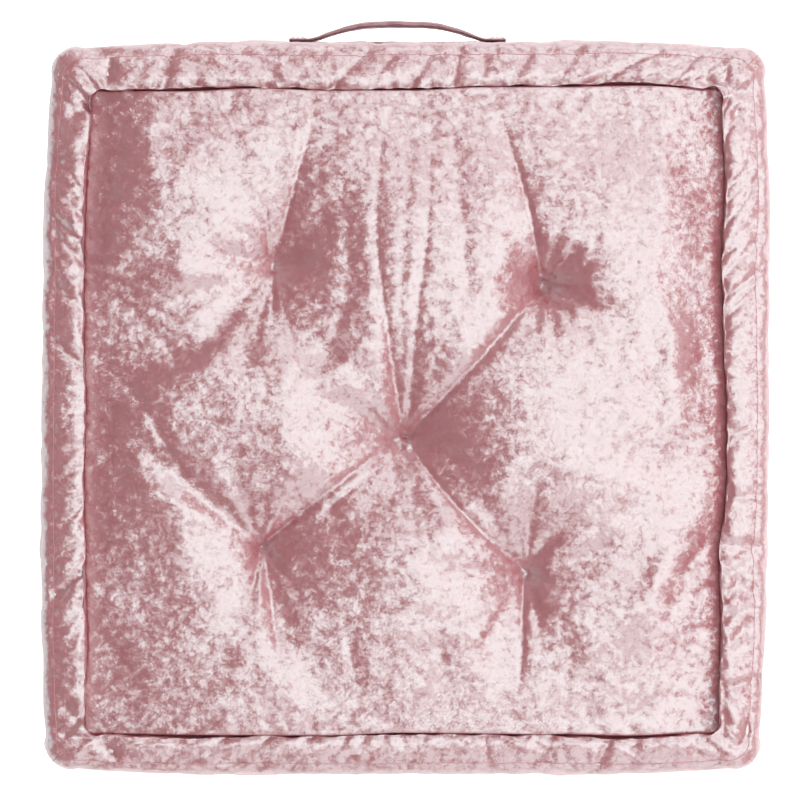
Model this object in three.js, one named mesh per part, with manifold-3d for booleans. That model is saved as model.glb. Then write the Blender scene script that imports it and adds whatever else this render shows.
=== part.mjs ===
// Square floor cushion: a velvet cover with rolled edges, tufted in five places,
// filled with fibre, with a carrying strap on one side.
// Millimetres, +Z up. It lies on its bottom panel at z = 0, with the strap on the +Y side.
import * as THREE from "three";
import { mergeVertices } from "three/addons/utils/BufferGeometryUtils.js";
import Module from "manifold-3d";

// Plan of the cushion at its widest, and its corners
const cushionWidth = 502;
const cushionLength = 506;
const outerCorner = 30; // corner radius at the widest
const smallestCorner = 9;
const cornerTaper = 2.2; // radius lost for each millimetre of inset
const cornerSteps = 4; // segments in a corner
const roundSteps = 3; // segments in a bend of the section

// Section through an edge, as insets from the widest and heights
const rollInset = 15; // middle of a roll
const rollHalfWidth = 14;
const rollHalfHeight = 12.5;
const bottomRollZ = 15.5;
const topRollZ = 82.5;
const panelStitchAngle = THREE.MathUtils.degToRad(22); // where the panel is sewn down
const sideStitchAngle = THREE.MathUtils.degToRad(69); // where the boxing is sewn in
const seamAngle = THREE.MathUtils.degToRad(123); // where panel and boxing are joined
const stitchFloor = 2.4; // width of the bottom of a groove
const stitchBend = 9; // how far from the groove a panel turns level
const bandHalfHeight = 12; // flat middle of the boxing
const bandBend = 6; // rounding of the boxing towards a groove
const shoulder = 2;
const shoulderRise = 0.8; // share of the climb to the crown that is done before levelling out
const crownEdge = 62; // inset where the panel levels out
const crownEdgeZ = 97.5;
const crownBend = 40;
const crownInset = 200;
const crownZ = 103;
const middleZ = (bottomRollZ + topRollZ) / 2;

// Cover, filling and thread
const coverThickness = 1.2;
const clearance = 0.3; // air left between two pieces that are made separately
const mergeWithin = 1e-4; // points closer than this are one
const threadRadius = 0.5;
const threadSides = 5;
const seamSteps = 36;
const seamCurveSteps = 2; // segments in each quarter of the thread's own outline
const cornerSeamDepth = 0.48; // how far a corner seam's thread lies below the cover's face
const seamGap = 2 * (threadRadius + clearance);

// Tufts: a cord through the cushion, with a short bar on each panel
const tufts = {
  back_left: [-92, 94],
  back_right: [94, 86],
  centre: [-2, -20],
  front_left: [-99, -97],
  front_right: [85, -113],
};
const tuftTopZ = 75;
const tuftBottomZ = 18;
const topDimple = { reach: 58, depth: 31 };
const bottomDimple = { reach: 34, depth: 20 };
const dimpleBend = { reach: 0.22, depth: 0.7 }; // shares of the dip where its side bends most
const dimpleFloor = 5;
const dimpleOpening = 21.2; // how far the cutting shape stands up from the lip of a dip
const dimpleSteps = 3;
const dimpleSides = 10;
const cordRadius = 0.8;
const cordPlay = 0.45; // room around a cord in its channel
const cordSides = 6;
const barLength = 7;

// Carrying strap, about its own middle: the ends lie on the boxing and the middle stands off it
const strapX = -5.5;
const strapWidth = 22;
const strapThickness = 3.7;
const strapEndThickness = 2.2;
const strapProud = 16; // how far the bow stands out from the boxing
const strapHalfLength = 75;
const strapBowEnd = 55;
const strapBowBend = 6; // length of the turn out of the sewn end
const strapBowTop = 13;
const strapHinge = 38; // where the bow is free enough to swing
const strapSteps = 12;
const boxStitch = { inner: 60, outer: 73, halfHeight: 8, line: 0.8 };

// The row's origin is the middle of everything's box, so the strap pushes the cushion back
const cushionY = -strapProud / 2;
const tall = 200; // taller and wider than the cushion, for cutting
const wide = 600;
const beyondSide = -10; // an inset that lies outside the cushion

const wasm = await Module();
wasm.setup();

// ---- solids

function solidOf(geometry) {
  const bare = new THREE.BufferGeometry();
  bare.setAttribute("position", geometry.getAttribute("position"));
  bare.setIndex(geometry.getIndex());
  const merged = mergeVertices(bare, mergeWithin);
  const vertProperties = new Float32Array(merged.getAttribute("position").array);
  const triVerts = new Uint32Array(merged.getIndex().array);
  return new wasm.Manifold(new wasm.Mesh({ numProp: 3, vertProperties, triVerts }));
}

function geometryOf(solid) {
  const made = solid.getMesh();
  const geometry = new THREE.BufferGeometry();
  geometry.setAttribute("position", new THREE.BufferAttribute(made.vertProperties, 3));
  geometry.setIndex(new THREE.BufferAttribute(made.triVerts, 1));
  geometry.computeVertexNormals();
  return geometry;
}

function geometryFrom(points, triangles) {
  const geometry = new THREE.BufferGeometry().setFromPoints(points);
  geometry.setIndex(triangles);
  return geometry;
}

// A point of the section: how far in from the widest, how high, and the corner radius there
function place(inset, z, corner) {
  const usual = Math.max(smallestCorner, outerCorner - cornerTaper * inset);
  return Object.assign(new THREE.Vector2(inset, z), { corner: corner ?? usual });
}

// The place beside another, on a rounded rectangle that runs parallel to it
function placeBeside(from, inward, upward) {
  return place(from.x + inward, from.y + upward, from.corner - inward);
}

// Rounded rectangle around the plan, anticlockwise, through one place of the section
function ring({ x: inset, y: z, corner: radius }) {
  const centreX = cushionWidth / 2 - inset - radius;
  const centreY = cushionLength / 2 - inset - radius;
  const points = [];
  for (let corner = 0; corner < 4; corner++) {
    const signX = corner === 0 || corner === 3 ? 1 : -1;
    const signY = corner < 2 ? 1 : -1;
    for (let step = 0; step <= cornerSteps; step++) {
      const angle = (corner + step / cornerSteps) * (Math.PI / 2);
      const x = signX * centreX + radius * Math.cos(angle);
      const y = signY * centreY + radius * Math.sin(angle);
      points.push(new THREE.Vector3(x, y, z));
    }
  }
  return points;
}

// Two triangles between each pair of points of one ring and the next
function stitchRings(triangles, lower, upper, count) {
  for (let at = 0; at < count; at++) {
    const next = (at + 1) % count;
    triangles.push(lower + at, lower + next, upper + next);
    triangles.push(lower + at, upper + next, upper + at);
  }
}

// Closed solid of rings, from a middle point at the bottom to one at the top
function loft(outline) {
  const points = outline.flatMap(ring);
  const count = points.length / outline.length;
  const triangles = [];
  for (let level = 0; level + 1 < outline.length; level++) {
    stitchRings(triangles, level * count, (level + 1) * count, count);
  }
  const bottom = points.length;
  const top = bottom + 1;
  const lastRing = bottom - count;
  points.push(new THREE.Vector3(0, 0, outline[0].y));
  points.push(new THREE.Vector3(0, 0, outline[outline.length - 1].y));
  for (let at = 0; at < count; at++) {
    const next = (at + 1) % count;
    triangles.push(bottom, next, at);
    triangles.push(top, lastRing + at, lastRing + next);
  }
  return solidOf(geometryFrom(points, triangles));
}

// Loop of thread that runs round the plan through one place of the section
function hoop(middle) {
  const sections = [];
  for (let side = 0; side < threadSides; side++) {
    const angle = (-side / threadSides) * 2 * Math.PI;
    const inward = threadRadius * Math.cos(angle);
    sections.push(ring(placeBeside(middle, inward, threadRadius * Math.sin(angle))));
  }
  const count = sections[0].length;
  const triangles = [];
  for (let side = 0; side < threadSides; side++) {
    stitchRings(triangles, side * count, ((side + 1) % threadSides) * count, count);
  }
  return solidOf(geometryFrom(sections.flat(), triangles));
}

function boxBetween(low, high) {
  const size = high.map((value, axis) => value - low[axis]);
  const geometry = new THREE.BoxGeometry(...size);
  geometry.translate(...low.map((value, axis) => value + size[axis] / 2));
  return solidOf(geometry);
}

// How far each point of an outline moves when the outline moves to its right by a distance
function offsetSteps(points, distance) {
  return points.map((point, at) => {
    const before = points[Math.max(at - 1, 0)];
    const after = points[Math.min(at + 1, points.length - 1)];
    const directions = [point.clone().sub(before), after.clone().sub(point)];
    const used = directions.filter((d) => d.length() > 0);
    const normals = used.map((d) => new THREE.Vector2(d.y, -d.x).normalize());
    const middle = normals.reduce((sum, n) => sum.add(n), new THREE.Vector2()).normalize();
    return middle.multiplyScalar(distance / middle.dot(normals[normals.length - 1]));
  });
}

function offsetSection(places, distance) {
  const steps = offsetSteps(places, distance);
  return places.map((from, at) => placeBeside(from, steps[at].x, steps[at].y));
}

// ---- the cushion's section

function rollPoint(centreZ, angle) {
  const inset = rollInset + rollHalfWidth * Math.cos(angle);
  return place(inset, centreZ + rollHalfHeight * Math.sin(angle));
}

const topStitch = rollPoint(topRollZ, -panelStitchAngle);
const topSideStitch = rollPoint(topRollZ, -sideStitchAngle);
const bottomStitch = rollPoint(bottomRollZ, panelStitchAngle);
const bottomSideStitch = rollPoint(bottomRollZ, sideStitchAngle);
const topSeam = rollPoint(topRollZ, seamAngle);
const bottomSeam = rollPoint(bottomRollZ, -seamAngle);

const roundedRoll = (path, centreZ, from, to) =>
  path.absellipse(rollInset, centreZ, rollHalfWidth, rollHalfHeight, from, to, true);

// From the flat of the bottom panel to its seam
function bottomPanelPath() {
  const path = new THREE.Path();
  path.moveTo(crownEdge, 0);
  const floorEnd = bottomStitch.x + stitchFloor;
  path.quadraticCurveTo(bottomStitch.x + stitchBend, 0, floorEnd, bottomStitch.y);
  path.lineTo(bottomStitch.x, bottomStitch.y);
  return roundedRoll(path, bottomRollZ, panelStitchAngle, -seamAngle);
}

// From the bottom seam to the top one
function boxingPath() {
  const path = new THREE.Path();
  const low = middleZ - bandHalfHeight;
  const high = middleZ + bandHalfHeight;
  roundedRoll(path, bottomRollZ, -seamAngle, sideStitchAngle);
  path.lineTo(bottomSideStitch.x, bottomSideStitch.y + stitchFloor);
  path.quadraticCurveTo(shoulder, low - bandBend, 0, low);
  path.lineTo(0, high);
  path.quadraticCurveTo(shoulder, high + bandBend, topSideStitch.x, topSideStitch.y - stitchFloor);
  path.lineTo(topSideStitch.x, topSideStitch.y);
  return roundedRoll(path, topRollZ, -sideStitchAngle, seamAngle);
}

// From the top seam to the middle of the crown
function topPanelPath() {
  const path = new THREE.Path();
  const climb = shoulderRise * (crownEdgeZ - topStitch.y);
  roundedRoll(path, topRollZ, seamAngle, -panelStitchAngle);
  path.lineTo(topStitch.x + stitchFloor, topStitch.y);
  path.quadraticCurveTo(topStitch.x + stitchBend, topStitch.y + climb, crownEdge, crownEdgeZ);
  return path.quadraticCurveTo(crownEdge + crownBend, crownZ, crownInset, crownZ);
}

const placesOf = (path) => path.getPoints(roundSteps).map((p) => place(p.x, p.y));

// The whole section; neighbouring paths share a point, which is kept once
function sectionOutline() {
  const boxingPlaces = placesOf(boxingPath());
  return [
    ...placesOf(bottomPanelPath()).slice(0, -1),
    ...boxingPlaces,
    ...placesOf(topPanelPath()).slice(1),
  ];
}

// Dip that a tuft pulls into a panel, as the air above its floor, grown by the cover's thickness
function dimple(shape, grown) {
  const path = new THREE.Path();
  path.moveTo(dimpleFloor, 0);
  const bendX = dimpleBend.reach * shape.reach;
  const bendY = dimpleBend.depth * shape.depth;
  path.quadraticCurveTo(bendX, bendY, shape.reach, shape.depth);
  const surface = path.getPoints(dimpleSteps);
  const steps = offsetSteps(surface, grown);
  const slope = surface.map((point, at) => point.clone().add(steps[at]));
  const floor = slope[0].y;
  const lip = slope[slope.length - 1];
  const over = lip.y + dimpleOpening;
  const profile = [
    new THREE.Vector2(0, floor),
    ...slope,
    new THREE.Vector2(lip.x, over),
    new THREE.Vector2(0, over),
  ];
  return new THREE.LatheGeometry(profile, dimpleSides).rotateX(Math.PI / 2);
}

// The whole cushion, moved in by some depth below its surface
function cushionSolid(depth) {
  let made = loft(offsetSection(sectionOutline(), depth));
  for (const [x, y] of Object.values(tufts)) {
    const above = dimple(topDimple, depth).translate(x, y, tuftTopZ);
    const below = dimple(bottomDimple, depth).rotateX(Math.PI).translate(x, y, tuftBottomZ);
    made = made.subtract(solidOf(above)).subtract(solidOf(below));
  }
  return made;
}

// Channels that the tuft cords run in, through panels and filling
function cordChannel(x, y) {
  const radius = cordRadius + cordPlay;
  const length = 2 * tall; // through both panels, wherever it is centred
  const geometry = new THREE.CylinderGeometry(radius, radius, length, cordSides);
  return solidOf(geometry.rotateX(Math.PI / 2).translate(x, y, 0));
}

function pierced(solid) {
  return Object.values(tufts).reduce((left, [x, y]) => left.subtract(cordChannel(x, y)), solid);
}

// ---- cover

// Everything that the top or the bottom panel covers, up to its seam with the boxing
function panelRegion(seam, roll, stitch, sideStitch, far, gap) {
  const neck = stitch.clone().add(sideStitch).multiplyScalar(0.5);
  const outline = [
    place(crownInset, middleZ),
    place(neck.x, neck.y),
    placeBeside(seam, gap, roll - seam.y),
    placeBeside(seam, gap, far - seam.y),
    place(crownInset, far),
  ];
  return loft(far > middleZ ? outline : outline.reverse());
}

const topRegion = (gap) =>
  panelRegion(topSeam, topRollZ, topStitch, topSideStitch, tall, gap);
const bottomRegion = (gap) =>
  panelRegion(bottomSeam, bottomRollZ, bottomStitch, bottomSideStitch, -tall, gap);

// A quarter of the plan, from the middle to one side, short of the corner seams
function sideWedge(turns) {
  const skew = (cushionLength - cushionWidth) / 2;
  const apex = (turns % 2 ? -skew : skew) + (seamGap / 2) * Math.SQRT2;
  const shape = new THREE.Shape();
  shape.moveTo(0, apex);
  shape.lineTo(wide, apex + wide);
  shape.lineTo(-wide, apex + wide);
  const geometry = new THREE.ExtrudeGeometry(shape, { depth: tall, bevelEnabled: false });
  return solidOf(geometry.rotateZ((-turns * Math.PI) / 2));
}

const shell = pierced(cushionSolid(0).subtract(cushionSolid(coverThickness)));
const topPanel = shell.intersect(topRegion(seamGap / 2));
const bottomPanel = shell.intersect(bottomRegion(seamGap / 2));
const boxing = shell.subtract(topRegion(-seamGap / 2)).subtract(bottomRegion(-seamGap / 2));

// ---- filling

// Everything inside the two stitched lines, so that what is left over is the two rolls
function coreRegion(grown) {
  const outline = [
    place(crownInset, -tall),
    place(bottomStitch.x - grown, -tall),
    placeBeside(bottomStitch, -grown, -grown),
    placeBeside(bottomSideStitch, -grown, -grown),
    place(beyondSide, bottomSideStitch.y - grown),
    place(beyondSide, topSideStitch.y + grown),
    placeBeside(topSideStitch, -grown, grown),
    placeBeside(topStitch, -grown, grown),
    place(topStitch.x - grown, tall),
    place(crownInset, tall),
  ];
  return loft(outline);
}

const filling = cushionSolid(coverThickness + clearance);
const rolls = filling.subtract(coreRegion(clearance));
const upperHalf = boxBetween([-wide, -wide, middleZ], [wide, wide, tall]);
const fillCore = pierced(filling.intersect(coreRegion(0)));

// ---- threads

// Seam up a corner of the boxing, from the bottom seam to the top one
function cornerSeam(signX, signY) {
  const outline = offsetSection(placesOf(boxingPath()), cornerSeamDepth);
  const route = outline.slice(1, -1).map((p) => {
    const cornerInset = p.x + p.corner * (1 - Math.SQRT1_2);
    const x = signX * (cushionWidth / 2 - cornerInset);
    const y = signY * (cushionLength / 2 - cornerInset);
    return new THREE.Vector3(x, y, p.y);
  });
  const section = new THREE.Shape();
  section.absarc(0, 0, threadRadius, 0, 2 * Math.PI);
  const extrudePath = new THREE.CatmullRomCurve3(route, false, "catmullrom", 0);
  const options = { steps: seamSteps, extrudePath, curveSegments: seamCurveSteps };
  return solidOf(new THREE.ExtrudeGeometry(section, options));
}

// Cord from panel to panel, ending in a bar that lies on each
function tuftCord(x, y) {
  const top = tuftTopZ + clearance + cordRadius;
  const bottom = tuftBottomZ - clearance - cordRadius;
  const rod = (length) => new THREE.CylinderGeometry(cordRadius, cordRadius, length, cordSides);
  const shaft = rod(top - bottom).rotateX(Math.PI / 2).translate(x, y, (top + bottom) / 2);
  const bar = rod(barLength).rotateZ(Math.PI / 2);
  const topBar = solidOf(bar.clone().translate(x, y, top));
  const bottomBar = solidOf(bar.clone().translate(x, y, bottom));
  return solidOf(shaft).add(topBar).add(bottomBar);
}

// ---- strap

// Middle line of the strap seen from above, from one sewn end to the other
function strapLine() {
  const low = clearance + strapEndThickness / 2;
  const high = strapProud - strapThickness / 2;
  const path = new THREE.Path();
  path.moveTo(-strapHalfLength, low);
  path.lineTo(-strapBowEnd, low);
  path.bezierCurveTo(-strapBowEnd + strapBowBend, low, -strapHinge, high, -strapBowTop, high);
  path.lineTo(strapBowTop, high);
  path.bezierCurveTo(strapHinge, high, strapBowEnd - strapBowBend, low, strapBowEnd, low);
  path.lineTo(strapHalfLength, low);
  return path.getPoints(strapSteps);
}

function strapSolid() {
  const line = strapLine();
  const low = line[0].y;
  const high = strapProud - strapThickness / 2;
  const thicken = (side) => {
    const steps = offsetSteps(line, side);
    return line.map((point, at) => {
      const share = (point.y - low) / (high - low);
      const half = THREE.MathUtils.lerp(strapEndThickness, strapThickness, share) / 2;
      return point.clone().addScaledVector(steps[at], half);
    });
  };
  const outline = [...thicken(1), ...thicken(-1).reverse()];
  const options = { depth: strapWidth, bevelEnabled: false };
  const geometry = new THREE.ExtrudeGeometry(new THREE.Shape(outline), options);
  return solidOf(geometry.translate(0, 0, -strapWidth / 2));
}

// Rectangle of stitching that holds one end of the strap to the boxing
function strapStitch(side) {
  const { inner, outer, halfHeight, line } = boxStitch;
  const halfLength = (outer - inner) / 2;
  const rectangle = (halfX, halfY) => [
    new THREE.Vector2(-halfX, -halfY),
    new THREE.Vector2(halfX, -halfY),
    new THREE.Vector2(halfX, halfY),
    new THREE.Vector2(-halfX, halfY),
  ];
  const shape = new THREE.Shape(rectangle(halfLength, halfHeight));
  shape.holes.push(new THREE.Path(rectangle(halfLength - line, halfHeight - line)));
  const geometry = new THREE.ExtrudeGeometry(shape, { depth: line, bevelEnabled: false });
  const face = clearance + strapEndThickness + clearance;
  const middleX = (side * (inner + outer)) / 2;
  return geometry.rotateX(Math.PI / 2).translate(middleX, face + line, 0);
}

const strap = strapSolid();
const hingeGap = clearance / 2;
// The length of strap between two places along it
const strapBetween = (from, to) => {
  return strap.intersect(boxBetween([from, -tall, -tall], [to, tall, tall]));
};
const strapBow = strapBetween(-strapHinge + hingeGap, strapHinge - hingeGap);
const strapLeft = strapBetween(-wide, -strapHinge - hingeGap);
const strapRight = strapBetween(strapHinge + hingeGap, wide);

// ---- materials and the scene

const material = (color, roughness) =>
  new THREE.MeshStandardMaterial({ color, roughness, metalness: 0 });
const velvet = material(0xd5a9ae, 0.4);
const thread = material(0xd99a9f, 0.6);
const fibre = material(0xf2efe9, 0.95);

function meshOf(name, shape, finish) {
  const geometry = shape.isBufferGeometry ? shape : geometryOf(shape);
  const mesh = new THREE.Mesh(geometry, finish);
  mesh.name = name;
  return mesh;
}

const cushion = new THREE.Group();
cushion.position.set(0, cushionY, 0);
cushion.add(meshOf("fill_core", fillCore, fibre));
cushion.add(meshOf("top_edge_fill", rolls.intersect(upperHalf), fibre));
cushion.add(meshOf("bottom_edge_fill", rolls.subtract(upperHalf), fibre));
cushion.add(meshOf("top_panel", topPanel, velvet));
cushion.add(meshOf("bottom_panel", bottomPanel, velvet));
["back", "right", "front", "left"].forEach((name, turns) => {
  cushion.add(meshOf("boxing_" + name, boxing.intersect(sideWedge(turns)), velvet));
});

const lift = threadRadius + clearance; // from the bottom of a groove to a thread in it
const half = stitchFloor / 2;
const seamDepth = coverThickness / 2;
const hoops = {
  top_seam_thread: placeBeside(topSeam, 0, -seamDepth),
  bottom_seam_thread: placeBeside(bottomSeam, 0, seamDepth),
  top_roll_stitch_panel: placeBeside(topStitch, half, lift),
  top_roll_stitch_boxing: placeBeside(topSideStitch, -lift, -half),
  bottom_roll_stitch_panel: placeBeside(bottomStitch, half, -lift),
  bottom_roll_stitch_boxing: placeBeside(bottomSideStitch, -lift, half),
};
for (const [name, middle] of Object.entries(hoops)) {
  cushion.add(meshOf(name, hoop(middle), thread));
}
for (const [end, signY] of [["front", -1], ["back", 1]]) {
  for (const [side, signX] of [["left", -1], ["right", 1]]) {
    cushion.add(meshOf(`corner_seam_${end}_${side}`, cornerSeam(signX, signY), thread));
  }
}
for (const [name, [x, y]] of Object.entries(tufts)) {
  cushion.add(meshOf("tuft_cord_" + name, tuftCord(x, y), thread));
}

const handle = new THREE.Group();
handle.position.set(strapX, cushionLength / 2, middleZ);
handle.add(meshOf("handle_strap", strapBow, velvet));
handle.add(meshOf("handle_end_left", strapLeft, velvet));
handle.add(meshOf("handle_end_right", strapRight, velvet));
handle.add(meshOf("handle_stitch_left", strapStitch(-1), thread));
handle.add(meshOf("handle_stitch_right", strapStitch(1), thread));
cushion.add(handle);

const floorCushion = new THREE.Group();
floorCushion.name = "floor_cushion";
floorCushion.add(cushion);
export default floorCushion;
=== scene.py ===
import math
import time

import bpy
import numpy as np
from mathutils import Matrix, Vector


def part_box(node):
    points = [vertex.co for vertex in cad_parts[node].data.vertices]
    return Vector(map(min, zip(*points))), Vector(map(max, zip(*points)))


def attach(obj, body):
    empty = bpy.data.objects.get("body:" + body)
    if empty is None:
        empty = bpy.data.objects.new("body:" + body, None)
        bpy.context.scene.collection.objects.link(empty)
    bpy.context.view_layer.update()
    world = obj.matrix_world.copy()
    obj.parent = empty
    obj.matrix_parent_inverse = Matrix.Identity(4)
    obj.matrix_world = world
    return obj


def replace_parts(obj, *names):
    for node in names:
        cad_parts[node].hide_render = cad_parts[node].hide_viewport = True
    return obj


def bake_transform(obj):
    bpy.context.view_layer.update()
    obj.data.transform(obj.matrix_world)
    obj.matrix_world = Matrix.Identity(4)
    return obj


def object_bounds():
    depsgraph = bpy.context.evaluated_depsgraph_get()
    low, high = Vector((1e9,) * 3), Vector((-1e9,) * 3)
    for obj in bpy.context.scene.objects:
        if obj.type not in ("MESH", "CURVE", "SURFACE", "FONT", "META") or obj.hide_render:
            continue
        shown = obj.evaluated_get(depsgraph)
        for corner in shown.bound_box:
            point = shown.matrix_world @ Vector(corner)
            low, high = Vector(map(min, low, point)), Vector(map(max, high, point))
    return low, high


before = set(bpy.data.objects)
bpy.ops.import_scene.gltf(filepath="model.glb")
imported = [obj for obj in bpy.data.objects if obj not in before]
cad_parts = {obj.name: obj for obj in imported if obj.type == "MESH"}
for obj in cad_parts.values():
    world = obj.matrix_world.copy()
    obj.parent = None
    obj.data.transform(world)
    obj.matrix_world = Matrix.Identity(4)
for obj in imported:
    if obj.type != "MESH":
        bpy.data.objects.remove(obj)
cadLow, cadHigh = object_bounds()
started = time.time()
mm = 0.001


def report(stage):
    print(f"{stage}: {time.time() - started:.0f} s")


# the cushion's own box, without the strap
leftEdge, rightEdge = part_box("boxing_left")[0].x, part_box("boxing_right")[1].x
frontEdge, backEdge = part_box("boxing_front")[0].y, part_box("boxing_back")[1].y
cushionCentre = np.array([(leftEdge + rightEdge) / 2, (frontEdge + backEdge) / 2])
halfSize = np.array([(rightEdge - leftEdge) / 2, (backEdge - frontEdge) / 2])
middleZ = (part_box("boxing_left")[0].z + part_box("boxing_left")[1].z) / 2
tuftNames = ["back_left", "back_right", "centre", "front_left", "front_right"]


def tuftPlace(name):
    low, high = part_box("tuft_cord_" + name)
    return np.array([(low.x + high.x) / 2, (low.y + high.y) / 2])


tufts = {name: tuftPlace(name) for name in tuftNames}


class Signal:
    # a shader socket that can be used in a plain expression
    def __init__(self, board, socket):
        self.board, self.socket = board, socket

    def maths(self, operation, *values):
        return self.board.node("ShaderNodeMath", {"operation": operation}, dict(enumerate(values)))

    def __sub__(self, other):
        return self.maths("SUBTRACT", self, other)

    def __rsub__(self, other):
        return self.maths("SUBTRACT", other, self)

    def __mul__(self, other):
        return self.maths("MULTIPLY", self, other)

    def __rmul__(self, other):
        return self.maths("MULTIPLY", other, self)

    def clamped(self):
        return self.board.node("ShaderNodeClamp", {}, {"Value": self})


class Board:
    # one material's node tree
    def __init__(self, name):
        self.material = bpy.data.materials.new(name)
        self.material.use_nodes = True
        self.tree = self.material.node_tree
        self.tree.nodes.clear()

    def node(self, kind, settings, values, output=0):
        made = self.tree.nodes.new(kind)
        for key, value in settings.items():
            setattr(made, key, value)
        for key, value in values.items():
            if isinstance(key, int):
                socket = made.inputs[key]
            else:
                socket = next(s for s in made.inputs if s.name == key and s.enabled)
            if isinstance(value, Signal):
                self.tree.links.new(value.socket, socket)
            else:
                socket.default_value = value
        if isinstance(output, int):
            live = [s for s in made.outputs if s.enabled]
            return Signal(self, live[output])
        return Signal(self, made.outputs[output])

    def vector(self, operation, *values):
        return self.node("ShaderNodeVectorMath", {"operation": operation}, dict(enumerate(values)))

    def scaled(self, vector, factor):
        values = {"Vector": vector, "Scale": factor}
        return self.node("ShaderNodeVectorMath", {"operation": "SCALE"}, values)

    def noise(self, place, scale, detail, roughness, output=0):
        values = {"Vector": place, "Scale": scale, "Detail": detail, "Roughness": roughness}
        return self.node("ShaderNodeTexNoise", {}, values, output)

    def objectPlace(self):
        return self.node("ShaderNodeTexCoord", {}, {}, "Object")

    def bump(self, height, strength, distance):
        values = {"Strength": strength, "Distance": distance, "Height": height}
        return self.node("ShaderNodeBump", {}, values)

    def mixed(self, factor, a, b):
        settings = {"data_type": "RGBA"}
        return self.node("ShaderNodeMix", settings, {"Factor": factor, "A": a, "B": b})

    def finish(self, values):
        shader = self.node("ShaderNodeBsdfPrincipled", {}, values)
        output = self.tree.nodes.new("ShaderNodeOutputMaterial")
        self.tree.links.new(shader.socket, output.inputs["Surface"])
        return self.material


def colour(red, green, blue):
    return (red, green, blue, 1.0)


velvetLook = {
    "pile": colour(0.45, 0.138, 0.156),  # colour of the pile seen from the side
    "pileDeep": colour(0.43, 0.105, 0.120),
    "index": 3.3,  # how strongly the crushed pile shines
    "shine": colour(0.72, 1.0, 1.0),
    "roughness": 0.35,
    "patchSize": 6.5 * mm,  # size of the crushed patches
    "patchTilt": 0.40,  # how far the pile of a patch leans
    "patchContrast": 5.0,
    "swirl": 1.2,  # how far the patches bend, in patch sizes
    "grainSize": 0.7 * mm,
    "grainTilt": 0.34,
    "grainContrast": 3.0,
}

# the strap is seen on its folded edge, where the pile lies flat and shines less; its darker pile
# colours are painted shade on that edge
strapShadeLook = {"pile": colour(0.34, 0.14, 0.155), "pileDeep": colour(0.27, 0.085, 0.10), "index": 1.9}


def velvetMaterial(name, look):
    board = Board(name)
    place = board.objectPlace()
    normal = board.node("ShaderNodeNewGeometry", {}, {}, "Normal")
    middle = (0.5, 0.5, 0.5)
    # slow swirls bend the crushed patches
    swirl = board.noise(place, 0.35 / look["patchSize"], 2.0, 0.5, "Color")
    drift = board.scaled(board.vector("SUBTRACT", swirl, middle), look["swirl"] * look["patchSize"])
    bent = board.vector("ADD", place, drift)
    patches = board.noise(bent, 1 / look["patchSize"], 8.0, 0.8, "Color")
    tilt = board.scaled(board.vector("SUBTRACT", patches, middle), look["patchContrast"])
    tilt = board.vector("MINIMUM", tilt, (1.0, 1.0, 1.0))
    tilt = board.vector("MAXIMUM", tilt, (-1.0, -1.0, -1.0))
    tilt = board.scaled(tilt, look["patchTilt"])
    grain = board.noise(place, 1 / look["grainSize"], 4.0, 0.75, "Color")
    grainLean = look["grainContrast"] * look["grainTilt"]
    grainTilt = board.scaled(board.vector("SUBTRACT", grain, middle), grainLean)
    leaned = board.vector("ADD", normal, board.vector("ADD", tilt, grainTilt))
    leaned = board.vector("NORMALIZE", leaned)
    mottle = board.noise(bent, 0.6 / look["patchSize"], 5.0, 0.6)
    tint = board.mixed(((mottle - 0.42) * 5.0).clamped(), look["pileDeep"], look["pile"])
    values = {
        "Base Color": tint,
        "Roughness": look["roughness"],
        "IOR": look["index"],
        "Specular Tint": look["shine"],
        "Normal": leaned,
    }
    return board.finish(values)


def threadMaterial(name, tone):
    board = Board(name)
    strands = board.noise(board.objectPlace(), 900.0, 3.0, 0.6)
    bump = board.bump(strands, 0.4, 0.2 * mm)
    # the strands are painted darker where their bump is low: painted shade between the strands
    dark = colour(*(0.7 * channel for channel in tone[:3]))
    tint = board.mixed(((strands - 0.35) * 3.0).clamped(), dark, tone)
    return board.finish({"Base Color": tint, "Roughness": 0.6, "Normal": bump})


def fibreMaterial(name):
    board = Board(name)
    clumps = board.noise(board.objectPlace(), 120.0, 6.0, 0.65)
    bump = board.bump(clumps, 0.8, 2 * mm)
    # the fibre is painted darker where its bump is low: painted shade in the hollows between the clumps
    hollowShade, tuft = colour(0.62, 0.6, 0.57), colour(0.85, 0.84, 0.81)
    tint = board.mixed(((clumps - 0.3) * 2.5).clamped(), hollowShade, tuft)
    return board.finish({"Base Color": tint, "Roughness": 0.95, "Normal": bump})


velvet = velvetMaterial("crushed_velvet", velvetLook)
# the strap's velvet is the cover velvet made darker: painted shade
strapShadeVelvet = velvetMaterial("strap_velvet_painted_shade", {**velvetLook, **strapShadeLook})
pinkThread = threadMaterial("pink_thread", colour(0.60, 0.27, 0.29))
# thread for the stitched grooves, coloured in the pink cloth's shaded tone: painted shade along the
# grooves
grooveShadeThread = threadMaterial("thread_in_painted_groove_shade", colour(0.28, 0.04, 0.05))
fibre = fibreMaterial("polyester_fibre")
report("materials")

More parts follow.
